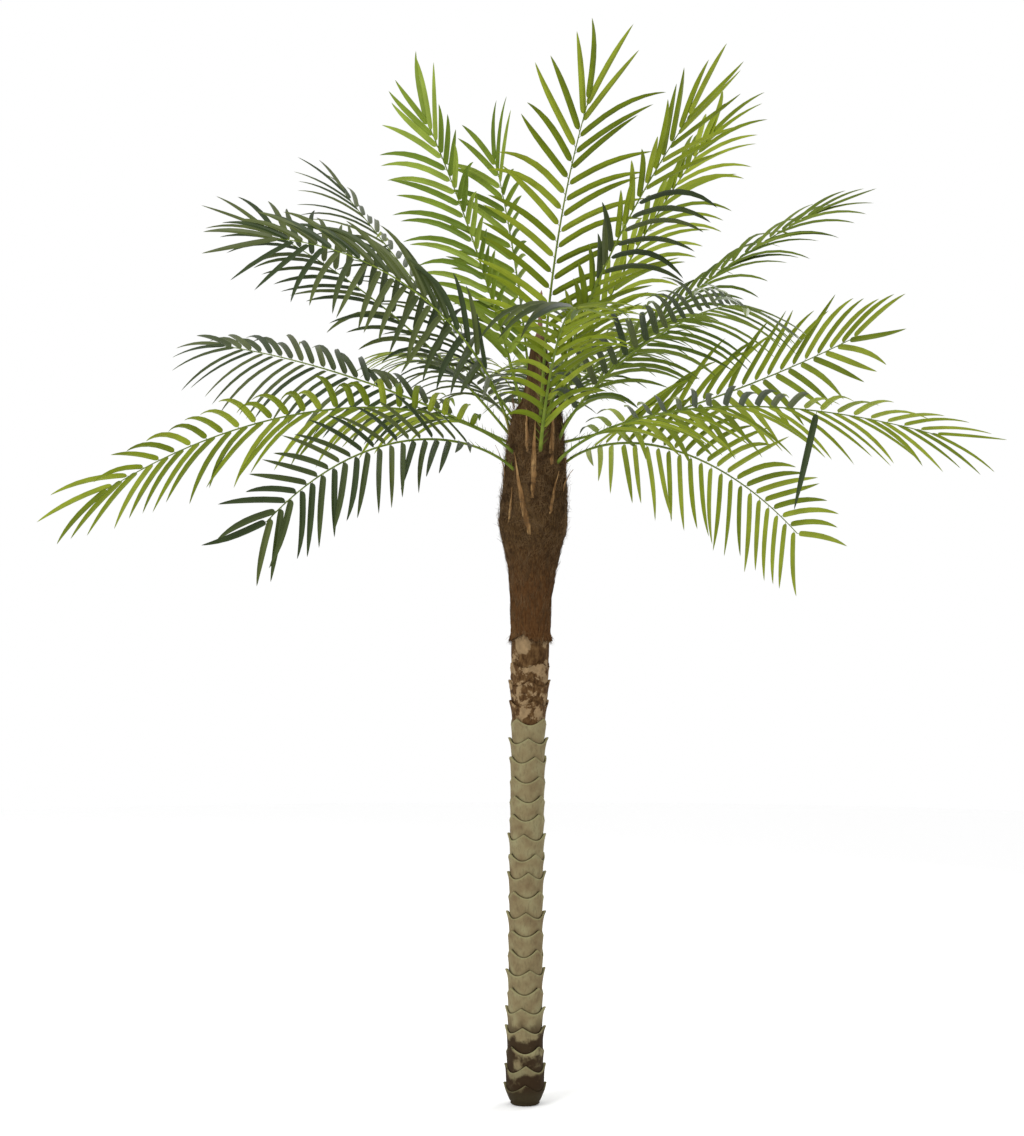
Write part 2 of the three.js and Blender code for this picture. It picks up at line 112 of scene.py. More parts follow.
LEAN = 0.040
LEAN_HEIGHT = 2.110
TUBE_RINGS = 24
TUBE_PITCH = 0.053
TUBE_RADIUS = 0.0468
TUBE_COLUMNS = 128
FOOT_EDGE = 0.008
ROOT_FLARE = 0.0125
ROOT_FLARE_HEIGHT = 0.12
FOOT_TUCK = 0.019
FOOT_TUCK_SPAN = (-0.01, 0.05)
COIR_COAT = 0.0055
COIR_SPAN = (1.06, 1.16)
DENTS = 0.0010
TUFTS = 0.0024
RIM_RISE = 0.004
RIM_RISE_STRAY = 0.004
LAST_RIM_LIFT = 0.045
RIM_DIP = 0.019
RIM_DIP_STRAY = 0.3
RIM_HORN = 0.0092
RIM_HORN_STRAY = 0.4
RIM_LIP = 0.0026
RIM_WEAR = 0.4
WORN_SPAN = (0.03, 0.20)
WRAPPED_SPAN = (1.22, 1.26)
UNDER_HEM_SPAN = (1.275, 1.305)
UNDER_HEM_INSET = 0.003
# How far each rim is turned about the tube, from the lowest one up, in degrees.
RIM_TURNS = [0, 2, 45, -8, -12, 42, 14, 38, 44, 0, 48, 6, 30, -10, 40, 48, 40, 22, 0, 50, 15, 0, 30, 5]


def scatter(seed):
    """A number from -0.5 to 0.5, always the same for the same seed."""
    wave = math.sin(seed * 12.9898 + 4.1414) * 43758.5453
    return wave - math.floor(wave) - 0.5


def mix(low, high, share):
    return low + (high - low) * share


def lean_at(height):
    return LEAN * (max(height, 0.0) / LEAN_HEIGHT) ** 2


def around(azimuth, radius, height):
    """A point at an azimuth about the leaning axis."""
    return Vector((lean_at(height) + radius * math.cos(azimuth), radius * math.sin(azimuth), height))


def sheet_of(columns, rows, place, wrapped):
    """A sheet of faces laid out by place(across, row), with across from 0 to 1.

    A wrapped sheet closes on itself, with its faces pointing out.
    """
    shape = bmesh.new()
    shape.loops.layers.uv.new("UVMap")
    bmesh.ops.create_grid(shape, x_segments=columns, y_segments=rows, size=0.5, calc_uvs=True)
    for vertex in shape.verts:
        across = vertex.co.x + 0.5
        row = round((vertex.co.y + 0.5) * rows)
        vertex.co = place(across, row)
    if wrapped:
        bmesh.ops.remove_doubles(shape, verts=shape.verts, dist=1e-6)
    for face in shape.faces:
        face.smooth = True
    return shape


def eased(low, high, value):
    """0 below low, 1 above high and smooth between them."""
    share = min(max((value - low) / (high - low), 0.0), 1.0)
    return share * share * (3.0 - 2.0 * share)


def tube_body(height):
    flare = ROOT_FLARE * math.exp(-max(height, 0.0) / ROOT_FLARE_HEIGHT)
    tuck = FOOT_TUCK * (1.0 - eased(*FOOT_TUCK_SPAN, height))
    return TUBE_RADIUS + flare - tuck + COIR_COAT * eased(*COIR_SPAN, height)


def rim_dip(index, azimuth):
    """0 at a horn and 1 in the middle between two horns."""
    phase = math.radians(RIM_TURNS[index])
    return abs(math.sin(2.0 * (azimuth - phase)))


def rim_height(index, azimuth):
    if index < 0:
        return 0.0
    peak = TUBE_PITCH * (index + 1) + RIM_RISE + RIM_RISE_STRAY * scatter(index + 0.8)
    if index == TUBE_RINGS - 1:
        peak += LAST_RIM_LIFT
    depth = RIM_DIP * (1.0 + RIM_DIP_STRAY * scatter(index + 0.1))
    return peak - depth * rim_dip(index, azimuth) ** 1.05


def rim_flare(index, azimuth):
    stray = scatter(index + 0.6 + round(azimuth / math.pi * 2.0))
    horn = RIM_HORN * (1.0 + RIM_HORN_STRAY * stray)
    return mix(horn, RIM_LIP, min(1.0, 1.15 * rim_dip(index, azimuth)))


def rim_kept(height):
    """How much of a rim's flare is left where it is worn, coated or wrapped."""
    worn = 1.0 - eased(*WORN_SPAN, height)
    coated = eased(*COIR_SPAN, height)
    wrapped = eased(*WRAPPED_SPAN, height)
    return (1.0 - RIM_WEAR * (worn + coated + wrapped)) * (1.0 - eased(*UNDER_HEM_SPAN, height))


# Rows of one cup: how far up it is, how much of the flare it has, how far it then
# stands in, and how far it is shifted up. The horns are thicker than the rim between.
CUP_ROWS = [
    (0.00, 0.00, 0.0040, -0.010),
    (0.00, 0.00, 0.0022, 0.001),
    (0.10, 0.00, 0.0012, 0.0),
    (0.30, 0.02, 0.0006, 0.0),
    (0.50, 0.10, 0.0004, 0.0),
    (0.68, 0.24, 0.0, 0.0),
    (0.82, 0.48, 0.0, 0.0),
    (0.93, 0.78, 0.0, 0.0),
    (1.00, 1.00, 0.0, 0.0),
    (1.00, 1.00, 0.0012, 0.0014),
    (1.00, 1.00, 0.0028, 0.0002),
    (1.00, 0.80, 0.0040, -0.007),
]
RIM_ROW = 8
HORN_THICK = 3.0
# Rows of the flat cut, from its middle out: how far in from the edge, and how high.
FOOT_BEVEL = [(1.0, 0.0), (0.004, 0.0), (0.001, 0.003)]
FOOT_ROWS = len(FOOT_BEVEL)
TUBE_ROWS = FOOT_ROWS + TUBE_RINGS * len(CUP_ROWS) + 1


def tube_place(across, row):
    azimuth = 2.0 * math.pi * across
    if row < FOOT_ROWS:
        inset, height = FOOT_BEVEL[row]
        return around(azimuth, max(tube_body(0.0) - inset, 0.0), height)
    index = min((row - FOOT_ROWS) // len(CUP_ROWS), TUBE_RINGS - 1)
    place = min(row - FOOT_ROWS - index * len(CUP_ROWS), len(CUP_ROWS) - 1)
    up, flare, inset, shift = CUP_ROWS[place]
    if place > RIM_ROW:
        inset *= mix(HORN_THICK, 1.0, rim_dip(index, azimuth))
    low = max(rim_height(index - 1, azimuth), FOOT_EDGE)
    height = max(mix(low, rim_height(index, azimuth), up) + shift, FOOT_EDGE)
    radius = tube_body(height) + rim_flare(index, azimuth) * flare * rim_kept(height)
    radius -= inset + UNDER_HEM_INSET * eased(*UNDER_HEM_SPAN, height)
    dent = noise.noise(Vector((3.0 * math.cos(azimuth), 3.0 * math.sin(azimuth), 30.0 * height)))
    tuft = noise.noise(Vector((9.0 * math.cos(azimuth), 9.0 * math.sin(azimuth), 160.0 * height)))
    radius += DENTS * dent + TUFTS * eased(*COIR_SPAN, height) * tuft
    return around(azimuth, radius if row < TUBE_ROWS else 0.0, height)


tube_shape = sheet_of(TUBE_COLUMNS, TUBE_ROWS, tube_place, wrapped=True)


def link(tree, source, target):
    tree.links.new(source, target)


def node(tree, kind, **settings):
    made = tree.nodes.new(kind)
    for name, value in settings.items():
        setattr(made, name, value)
    return made


def ramp(tree, factor, stops):
    """A colour ramp over a factor; stops are (place, colour)."""
    made = node(tree, "ShaderNodeValToRGB")
    elements = made.color_ramp.elements
    while len(elements) < len(stops):
        elements.new(0.5)
    for element, (place, colour) in zip(elements, stops):
        element.position = place
        element.color = (*colour, 1.0)
    link(tree, factor, made.inputs["Fac"])
    return made.outputs["Color"]


def blend_colours(tree, factor, first, second):
    made = node(tree, "ShaderNodeMix", data_type="RGBA")
    link(tree, factor, made.inputs["Factor"])
    for source, socket in ((first, made.inputs[6]), (second, made.inputs[7])):
        if isinstance(source, tuple):
            socket.default_value = (*source, 1.0)
        else:
            link(tree, source, socket)
    return made.outputs[2]


def speckle(tree, scale, detail=4.0, stretch=(1.0, 1.0, 1.0), roughness=0.55):
    """Noise in object coordinates, as a factor."""
    where = node(tree, "ShaderNodeTexCoord")
    mapping = node(tree, "ShaderNodeMapping")
    mapping.inputs["Scale"].default_value = stretch
    texture = node(tree, "ShaderNodeTexNoise")
    texture.inputs["Scale"].default_value = scale
    texture.inputs["Detail"].default_value = detail
    texture.inputs["Roughness"].default_value = roughness
    link(tree, where.outputs["Object"], mapping.inputs["Vector"])
    link(tree, mapping.outputs["Vector"], texture.inputs["Vector"])
    return texture.outputs["Fac"]


def height_share(tree, low, high):
    """0 below a height, 1 above another, and even between them."""
    where = node(tree, "ShaderNodeTexCoord")
    split = node(tree, "ShaderNodeSeparateXYZ")
    span = node(tree, "ShaderNodeMapRange")
    span.inputs["From Min"].default_value = low
    span.inputs["From Max"].default_value = high
    link(tree, where.outputs["Object"], split.inputs["Vector"])
    link(tree, split.outputs["Z"], span.inputs["Value"])
    return span.outputs["Result"]


def combine(tree, operation, first, second, clamp=True):
    """A sum, product or the like of two factors, kept from 0 to 1 unless told not to."""
    made = node(tree, "ShaderNodeMath", operation=operation, use_clamp=clamp)
    for source, socket in ((first, made.inputs[0]), (second, made.inputs[1])):
        if isinstance(source, float):
            socket.default_value = source
        else:
            link(tree, source, socket)
    return made.outputs[0]


def relief(tree, shader, height, strength, distance):
    made = node(tree, "ShaderNodeBump")
    made.inputs["Strength"].default_value = strength
    made.inputs["Distance"].default_value = distance
    link(tree, height, made.inputs["Height"])
    link(tree, made.outputs["Normal"], shader.inputs["Normal"])


def row_of_uv(tree):
    """How far up a sheet, by its rows, from its UV map."""
    where = node(tree, "ShaderNodeTexCoord")
    split = node(tree, "ShaderNodeSeparateXYZ")
    link(tree, where.outputs["UV"], split.inputs["Vector"])
    return split.outputs["Y"]


def spread(tree, value, low, high):
    """0 below low, 1 above high and smooth between them."""
    made = node(tree, "ShaderNodeMapRange", interpolation_type="SMOOTHSTEP")
    made.inputs["From Min"].default_value = low
    made.inputs["From Max"].default_value = high
    link(tree, value, made.inputs["Value"])
    return made.outputs["Result"]


def scaled(tree, value, factor, shift=0.0):
    """A value times a factor, and shifted."""
    made = node(tree, "ShaderNodeMath", operation="MULTIPLY_ADD")
    made.inputs[1].default_value = factor
    made.inputs[2].default_value = shift
    link(tree, value, made.inputs[0])
    return made.outputs[0]


def inverse(tree, factor):
    return combine(tree, "SUBTRACT", 1.0, factor)


def tinted(tree, base, factor, strength, colour):
    """A colour laid over another by a factor, at most as strongly as told."""
    return blend_colours(tree, combine(tree, "MULTIPLY", factor, strength), base, colour)


tube_material, tree, shader = new_material("grey_green_plastic", 0.7, 0.05)
# Which row of its cup a point is on, counted as in CUP_ROWS.
tube_row = scaled(tree, row_of_uv(tree), TUBE_ROWS, -FOOT_ROWS)
cup_row = combine(tree, "MODULO", tube_row, float(len(CUP_ROWS)), clamp=False)

# Weathered plastic, scratched, greener at the rims with a painted highlight on their lips, and with
# painted shade where the cups meet.
weathered = ramp(tree, speckle(tree, 22.0, 6.0), [
    (0.30, (0.142, 0.100, 0.052)), (0.50, (0.192, 0.154, 0.080)), (0.72, (0.235, 0.212, 0.114))])
scratches = spread(tree, speckle(tree, 150.0, 4.0, stretch=(1.0, 1.0, 0.35)), 0.50, 0.66)
plastic = tinted(tree, weathered, scratches, 0.35, (0.095, 0.075, 0.040))
# The rims' lips are greener plastic, and lighter as a painted highlight.
green_lip_and_highlight = spread(tree, cup_row, 6.4, 8.4)
plastic = tinted(tree, plastic, green_lip_and_highlight, 0.45, (0.270, 0.265, 0.130))
# Painted shade: a dark line just above each rim, where the next cup rises from inside it.
crevice_shade = inverse(tree, spread(tree, cup_row, 0.9, 2.1))
plastic = tinted(tree, plastic, crevice_shade, 0.7, (0.050, 0.038, 0.018))

# Grime at the foot, and dark stains that rise in the lowest cups from their crevices.
grime = inverse(tree, height_share(tree, 0.03, 0.13))
plastic = tinted(tree, plastic, grime, 0.7, (0.036, 0.026, 0.012))
stain_row = scaled(tree, speckle(tree, 13.0, 4.0), 32.0, -10.4)
soaked_row = combine(tree, "ADD", stain_row, scaled(tree, grime, 2.6), clamp=False)
stain = spread(tree, combine(tree, "SUBTRACT", soaked_row, cup_row, clamp=False), -1.8, 1.6)
low_zone = inverse(tree, height_share(tree, 0.19, 0.25))
stain = combine(tree, "MULTIPLY", stain, low_zone)
plastic = tinted(tree, plastic, stain, 0.93, (0.022, 0.011, 0.005))
foot_ring = inverse(tree, height_share(tree, 0.028, 0.052))
plastic = tinted(tree, plastic, foot_ring, 0.8, (0.038, 0.030, 0.015))

# On the top cups tufts of coir stick to the glue, with one large patch left bare.
FIRST_COATED_CUP = 20
BARE_PATCH = (-0.006, -0.048, 1.264)
BARE_PATCH_EDGE = (0.024, 0.029)
coir_patch = spread(tree, speckle(tree, 19.0, 7.0, roughness=0.62), 0.505, 0.545)
where = node(tree, "ShaderNodeTexCoord")
gap = node(tree, "ShaderNodeVectorMath", operation="DISTANCE")
link(tree, where.outputs["Object"], gap.inputs[0])
gap.inputs[1].default_value = BARE_PATCH
ragged_gap = combine(tree, "ADD", gap.outputs["Value"], scaled(tree, speckle(tree, 30.0), 0.05, -0.025))
bald = inverse(tree, spread(tree, ragged_gap, *BARE_PATCH_EDGE))
glue = ramp(tree, speckle(tree, 60.0), [(0.3, (0.17, 0.115, 0.060)), (0.7, (0.28, 0.19, 0.100))])
tufts = ramp(tree, speckle(tree, 110.0, 6.0, stretch=(1.0, 1.0, 0.5)), [
    (0.30, (0.032, 0.015, 0.005)), (0.50, (0.074, 0.038, 0.014)), (0.70, (0.128, 0.074, 0.030))])
mottled = blend_colours(tree, combine(tree, "MAXIMUM", coir_patch, bald), tufts, glue)
coir_rows = (FOOT_ROWS + FIRST_COATED_CUP * len(CUP_ROWS)) / TUBE_ROWS
coated = spread(tree, row_of_uv(tree), coir_rows, coir_rows + 0.002)
link(tree, blend_colours(tree, coated, plastic, mottled), shader.inputs["Base Color"])
relief(tree, shader, speckle(tree, 160.0, 5.0), 0.25, 0.0012)
tube = finished("trunk_tube", tube_shape, [tube_material])
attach(tube, "root")
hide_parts("trunk")

# ---------------------------------------------------------------- spindle
# A tapering stalk of brown fibre stands in the middle of the crown, over the top of
# the tube, and ends in a thin pinkish spear.

SPINDLE = [(1.215, 0.040), (1.700, 0.045), (1.916, 0.0455), (2.013, 0.031), (2.110, 0.019),
           (2.128, 0.008), (2.190, 0.005), (2.250, 0.0032)]
SPINDLE_ROWS = 90
SPINDLE_COLUMNS = 48
SPINDLE_RIDGES = 0.16


def profile_at(profile, height):
    """The radius of a (height, radius) profile, in straight lines between its points."""
    for (low, near), (high, far) in zip(profile, profile[1:]):
        if height <= high:
            share = min(max((height - low) / (high - low), 0.0), 1.0)
            return mix(near, far, share)
    return profile[-1][1]


def spindle_place(across, row):
    azimuth = 2.0 * math.pi * across
    height = mix(SPINDLE[0][0], SPINDLE[-1][0], row / SPINDLE_ROWS)
    radius = profile_at(SPINDLE, height) if 0 < row < SPINDLE_ROWS else 0.0
    ridge = noise.noise(Vector((14.0 * math.cos(azimuth), 14.0 * math.sin(azimuth), 6.0 * height)))
    return around(azimuth, radius * (1.0 + SPINDLE_RIDGES * ridge), height)


spindle_material, tree, shader = new_material("spindle_fibre", 0.9, 0.05)
streaks = speckle(tree, 60.0, 5.0, stretch=(1.0, 1.0, 0.12))
stalk = ramp(tree, streaks, [(0.3, (0.025, 0.014, 0.006)), (0.5, (0.060, 0.034, 0.014)),
                             (0.75, (0.140, 0.088, 0.040))])
link(tree, blend_colours(tree, height_share(tree, 2.10, 2.14), stalk, (0.22, 0.12, 0.085)),
     shader.inputs["Base Color"])
relief(tree, shader, streaks, 0.8, 0.003)
spindle_shape = sheet_of(SPINDLE_COLUMNS, SPINDLE_ROWS, spindle_place, wrapped=True)
spindle = finished("crown_spindle", spindle_shape, [spindle_material])
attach(spindle, "root")
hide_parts("trunk")

# ---------------------------------------------------------------- fibre sleeve
# Brown coir cloth is wound round the head of the tube. It swells where the fronds
# plug in, has a frayed hem, and loose hairs lie all over it and stand off its edges.

SLEEVE = [(1.280, 0.0600), (1.302, 0.0545), (1.400, 0.0565), (1.470, 0.065), (1.530, 0.077),
          (1.580, 0.0900), (1.605, 0.0935), (1.640, 0.0925), (1.720, 0.086), (1.800, 0.080),
          (1.860, 0.075), (1.916, 0.066)]
SLEEVE_ROWS = 150
SLEEVE_COLUMNS = 120
SLEEVE_TURN_IN = 5
LUMPS = 0.0026
FOLDS = 0.0016
COARSENESS = 0.0010
HEM_STRAY = 0.010
HEM_INWARD = 0.010
HEM_UPWARD = 0.014
TOP_STRAY = 0.022
TOP_DROP = 0.012
TOP_INWARD = 0.029
TOP_UPWARD = 0.036
TEAR_AZIMUTH = math.radians(245.0)
TEAR_WIDTH = math.radians(22.0)
TEAR_HEIGHT = 0.016


def sleeve_radius(azimuth, height):
    """The sleeve's outer radius with its wrinkles and lumps."""
    ring = Vector((math.cos(azimuth), math.sin(azimuth), 0.0))
    lumps = noise.noise(ring * 2.2 + Vector((0.0, 0.0, 9.0 * height)))
    folds = noise.noise(ring * 7.0 + Vector((0.0, 0.0, 3.5 * height)))
    coarse = noise.noise(ring * 22.0 + Vector((0.0, 0.0, 60.0 * height)))
    return profile_at(SLEEVE, height) + LUMPS * lumps + FOLDS * folds + COARSENESS * coarse


def hem_height(azimuth):
    """Where the cloth ends: uneven all round, and torn higher at the front left."""
    ring = Vector((9.0 * math.cos(azimuth), 9.0 * math.sin(azimuth), 0.0))
    torn = math.exp(-((azimuth - TEAR_AZIMUTH) / TEAR_WIDTH) ** 2)
    return SLEEVE[0][0] + HEM_STRAY * noise.noise(ring) + TEAR_HEIGHT * torn


def sleeve_place(across, row):
    azimuth = 2.0 * math.pi * across
    ring = Vector((9.0 * math.cos(azimuth), 9.0 * math.sin(azimuth), 0.0))
    foot = hem_height(azimuth)
    top_noise = noise.noise(ring * 1.7 + Vector((0.0, 0.0, 5.0)))
    top = SLEEVE[-1][0] - TOP_DROP + TOP_STRAY * top_noise
    outer = SLEEVE_ROWS - 2 * SLEEVE_TURN_IN
    step = min(max(row - SLEEVE_TURN_IN, 0), outer)
    height = mix(foot, top, step / outer)
    radius = sleeve_radius(azimuth, height)
    if row < SLEEVE_TURN_IN:
        depth = (SLEEVE_TURN_IN - row) / SLEEVE_TURN_IN
        return around(azimuth, radius - HEM_INWARD * depth, height + HEM_UPWARD * depth ** 2)
    if row > SLEEVE_TURN_IN + outer:
        depth = (row - SLEEVE_TURN_IN - outer) / SLEEVE_TURN_IN
        ragged = TOP_UPWARD + TOP_STRAY * noise.noise(ring * 2.4)
        return around(azimuth, radius - TOP_INWARD * depth, height + ragged * depth)
    return around(azimuth, radius, height)


sleeve_material, tree, shader = new_material("coir_cloth", 0.95, 0.02)
weave = speckle(tree, 260.0, 6.0, stretch=(1.0, 1.0, 0.30), roughness=0.7)
coir = ramp(tree, weave, [(0.32, (0.018, 0.009, 0.004)), (0.50, (0.052, 0.028, 0.011)),
                          (0.72, (0.140, 0.086, 0.038))])
red_coir = ramp(tree, weave, [(0.32, (0.040, 0.016, 0.005)), (0.50, (0.072, 0.033, 0.012)),
                              (0.72, (0.118, 0.060, 0.024))])
brushed = blend_colours(tree, height_share(tree, 1.42, 1.56), red_coir, coir)
worn = spread(tree, speckle(tree, 14.0, 3.0, stretch=(1.0, 1.0, 0.45)), 0.50, 0.72)
link(tree, tinted(tree, brushed, worn, 0.55, (0.150, 0.092, 0.040)), shader.inputs["Base Color"])
relief(tree, shader, weave, 0.9, 0.003)
sleeve_shape = sheet_of(SLEEVE_COLUMNS, SLEEVE_ROWS, sleeve_place, wrapped=True)
sleeve = finished("fibre_sleeve_cloth", sleeve_shape, [sleeve_material])
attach(sleeve, "root")
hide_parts("fibre_sleeve")

# Loose coir: short bent hairs on the sleeve, and a fringe at its hem. They are joined
# into one mesh, each a three-sided strand that ends in a point.

HAIRS = 3200
LONG_HAIRS = 260
HEM_HAIRS = 460
HAIR_RADIUS = 0.00045
HAIR_STEP = 0.020
HAIR_SPAN = (1.285, 1.925)
HAIR_LENGTHS = (0.020, 0.055)
LONG_HAIR_SPAN = (1.580, 1.840)
LONG_HAIR_LENGTHS = (0.080, 0.160)
HAIR_TOP = 1.96
HEAD_RADIUS = 0.08
FRINGE_RISE = 0.014
FRINGE_LENGTHS = (0.010, 0.030)


def strand(vertices, faces, points, radius):
    """Adds a three-sided tapering strand through points."""
    start = len(vertices)
    last = len(points) - 1
    for step, point in enumerate(points[:-1]):
        along = (points[step + 1] - point).normalized()
        side = along.orthogonal().normalized()
        other = along.cross(side)
        thick = radius * (1.0 - 0.6 * step / last)
        for corner in range(3):
            angle = 2.0 * math.pi * corner / 3.0
            vertices.append(point + (side * math.cos(angle) + other * math.sin(angle)) * thick)
    vertices.append(points[-1])
    faces.append((start + 2, start + 1, start))
    for step in range(last - 1):
        near = start + 3 * step
        for corner in range(3):
            following = (corner + 1) % 3
            faces.append((near + corner, near + following, near + 3 + following, near + 3 + corner))
    near = start + 3 * (last - 1)
    tip = start + 3 * last
    for corner in range(3):
        faces.append((near + corner, near + (corner + 1) % 3, tip))


def joined(name, vertices, faces, material_list, face_materials=None):
    """An object from a list of vertices and faces that many small things share."""
    mesh = bpy.data.meshes.new(name)
    mesh.from_pydata(vertices, [], faces)
    for material in material_list:
        mesh.materials.append(material)
    if face_materials:
        mesh.polygons.foreach_set("material_index", face_materials)
    mesh.polygons.foreach_set("use_smooth", [True] * len(faces))
    mesh.update()
    piece = bpy.data.objects.new(name, mesh)
    bpy.context.scene.collection.objects.link(piece)
    return piece


hair_vertices = []
hair_faces = []


def lay_hair(seed, height, length, climb, lift, radius):
    """Adds a hair that wanders over the sleeve, with its end standing off it."""
    azimuth = 2.0 * math.pi * (scatter(seed + 0.11) + 0.5)
    bend = 2.2 * scatter(seed + 0.87)
    steps = 4 + round(length / HAIR_STEP)
    points = []
    for step in range(steps + 1):
        share = step / steps
        turn = climb + bend * share
        azimuth += math.cos(turn) * length / steps / HEAD_RADIUS
        height = min(height + math.sin(turn) * length / steps, HAIR_TOP)
        radius_here = sleeve_radius(azimuth, height) + 0.0004 + lift * share ** 1.5
        points.append(around(azimuth, radius_here, height))
    strand(hair_vertices, hair_faces, points, radius)


for number in range(HAIRS):
    height = mix(*HAIR_SPAN, (scatter(number + 0.23) + 0.5) ** 0.75)
    shaggy = min(max((height - 1.38) / 0.2, 0.15), 1.0)
    length = mix(*HAIR_LENGTHS, scatter(number + 0.37) + 0.5)
    climb = math.radians(90.0 + (50.0 + 110.0 * shaggy) * scatter(number + 0.53))
    lift = 0.001 + shaggy * (0.004 + 0.016 * max(scatter(number + 0.71) - 0.2, 0.0) / 0.3)
    lay_hair(number, height, length, climb, lift, HAIR_RADIUS)
for number in range(LONG_HAIRS):
    height = mix(*LONG_HAIR_SPAN, scatter(number + 0.29) + 0.5)
    length = mix(*LONG_HAIR_LENGTHS, scatter(number + 0.41) + 0.5)
    climb = math.radians(90.0 + 190.0 * scatter(number + 0.57))
    lift = mix(0.004, 0.014, scatter(number + 0.77) + 0.5)
    lay_hair(number + 0.5, height, length, climb, lift, 1.3 * HAIR_RADIUS)
for number in range(HEM_HAIRS):
    azimuth = 2.0 * math.pi * number / HEM_HAIRS
    height = hem_height(azimuth) + FRINGE_RISE
    length = mix(*FRINGE_LENGTHS, scatter(number + 0.31) + 0.5)
    drift = 0.25 * scatter(number + 0.47)
    flick = 0.002 + 0.013 * (scatter(number + 0.59) + 0.5) ** 6
    points = [around(azimuth + drift * share, sleeve_radius(azimuth, height) - 0.001 + flick * share,
                     height - length * share) for share in (0.0, 0.35, 0.7, 1.0)]
    strand(hair_vertices, hair_faces, points, HAIR_RADIUS)
hair_material, tree, shader = new_material("coir_hair", 0.85, 0.05)
link(tree, ramp(tree, speckle(tree, 35.0), [(0.35, (0.045, 0.025, 0.012)), (0.65, (0.19, 0.12, 0.06))]),
     shader.inputs["Base Color"])
hairs = joined("coir_hairs", hair_vertices, hair_faces, [hair_material])
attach(hairs, "root")
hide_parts("fibre_sleeve")

# ---------------------------------------------------------------- husks
# Dry leaf bases stand on the sleeve like tan straps. Each is a gutter-shaped strip,
# widest low down and pointed at its tip, tucked into the coir at its foot.

# Azimuth of the foot, turn going up, height of the foot, length, width, and how far
# the tip stands off the sleeve.
HUSKS = [
    (263, -34, 1.572, 0.225, 0.019, 0.005),
    (266, 1, 1.672, 0.214, 0.019, 0.006),
    (303, 2, 1.764, 0.168, 0.017, 0.008),
    (253, -6, 1.800, 0.118, 0.011, 0.008),
    (298, 16, 1.630, 0.116, 0.011, 0.006),
    (192, -3, 1.712, 0.108, 0.013, 0.030),
    (187, -2, 1.838, 0.074, 0.010, 0.026),
    (350, 4, 1.722, 0.120, 0.013, 0.010),
    (4, -3, 1.842, 0.078, 0.011, 0.022),
    (335, 8, 1.690, 0.062, 0.012, 0.020),
    (222, 8, 1.606, 0.096, 0.010, 0.004),
    (30, -12, 1.612, 0.190, 0.018, 0.006),
    (64, 6, 1.684, 0.160, 0.018, 0.008),
    (92, -4, 1.590, 0.210, 0.020, 0.006),
    (124, 8, 1.700, 0.150, 0.017, 0.008),
    (152, -10, 1.620, 0.180, 0.018, 0.005),
]
HUSK_ROWS = 28
HUSK_COLUMNS = 6
HUSK_TIP_HALF = 0.0010
HUSK_ARCH = (0.20, 0.985)
HUSK_WANDER = 0.0015
HUSK_GUTTER = 0.22
HUSK_OFF = 0.0007
HUSK_TIP_OFF = 0.004
HUSK_THICK = 0.0016

husk_material, tree, shader = new_material("dry_husk", 0.8, 0.1)
grain = speckle(tree, 130.0, 5.0, stretch=(1.0, 1.0, 0.08))
link(tree, ramp(tree, grain, [(0.32, (0.090, 0.044, 0.014)), (0.50, (0.195, 0.106, 0.040)),
                              (0.70, (0.330, 0.212, 0.092))]), shader.inputs["Base Color"])
relief(tree, shader, grain, 0.6, 0.0015)

for number, (azimuth, swing, foot, length, width, lift) in enumerate(HUSKS):

    def husk_place(across, row):
        share = row / HUSK_ROWS
        height = foot + length * share
        angle = math.radians(azimuth + swing * share)
        arch = math.sin(math.pi * mix(*HUSK_ARCH, share ** 0.6))
        half = max(HUSK_TIP_HALF, 0.5 * width * arch)
        wander = HUSK_WANDER * noise.noise(Vector((number * 3.1, 0.0, 9.0 * share)))
        shift = (2.0 * across - 1.0) * half + wander
        gutter = HUSK_GUTTER * half * (2.0 * across - 1.0) ** 2
        standing = HUSK_OFF + (lift + HUSK_TIP_OFF) * share ** 2
        radius = sleeve_radius(angle, height) + standing - gutter
        side = Vector((-math.sin(angle), math.cos(angle), 0.0))
        return around(angle, radius, height) + side * shift

    husk_shape = sheet_of(HUSK_COLUMNS, HUSK_ROWS, husk_place, wrapped=False)
    bmesh.ops.solidify(husk_shape, geom=husk_shape.faces[:], thickness=HUSK_THICK)
    husk = finished(f"husk_strip_{number + 1:02d}", husk_shape, [husk_material])
    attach(husk, "root")
    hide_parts(f"husk_{number + 1:02d}")

# ---------------------------------------------------------------- frond ribs
# Each frond hangs on a green plastic rib, thick where it plugs into the head, with
# spines along its bare foot, and as thin as a wire at its end.

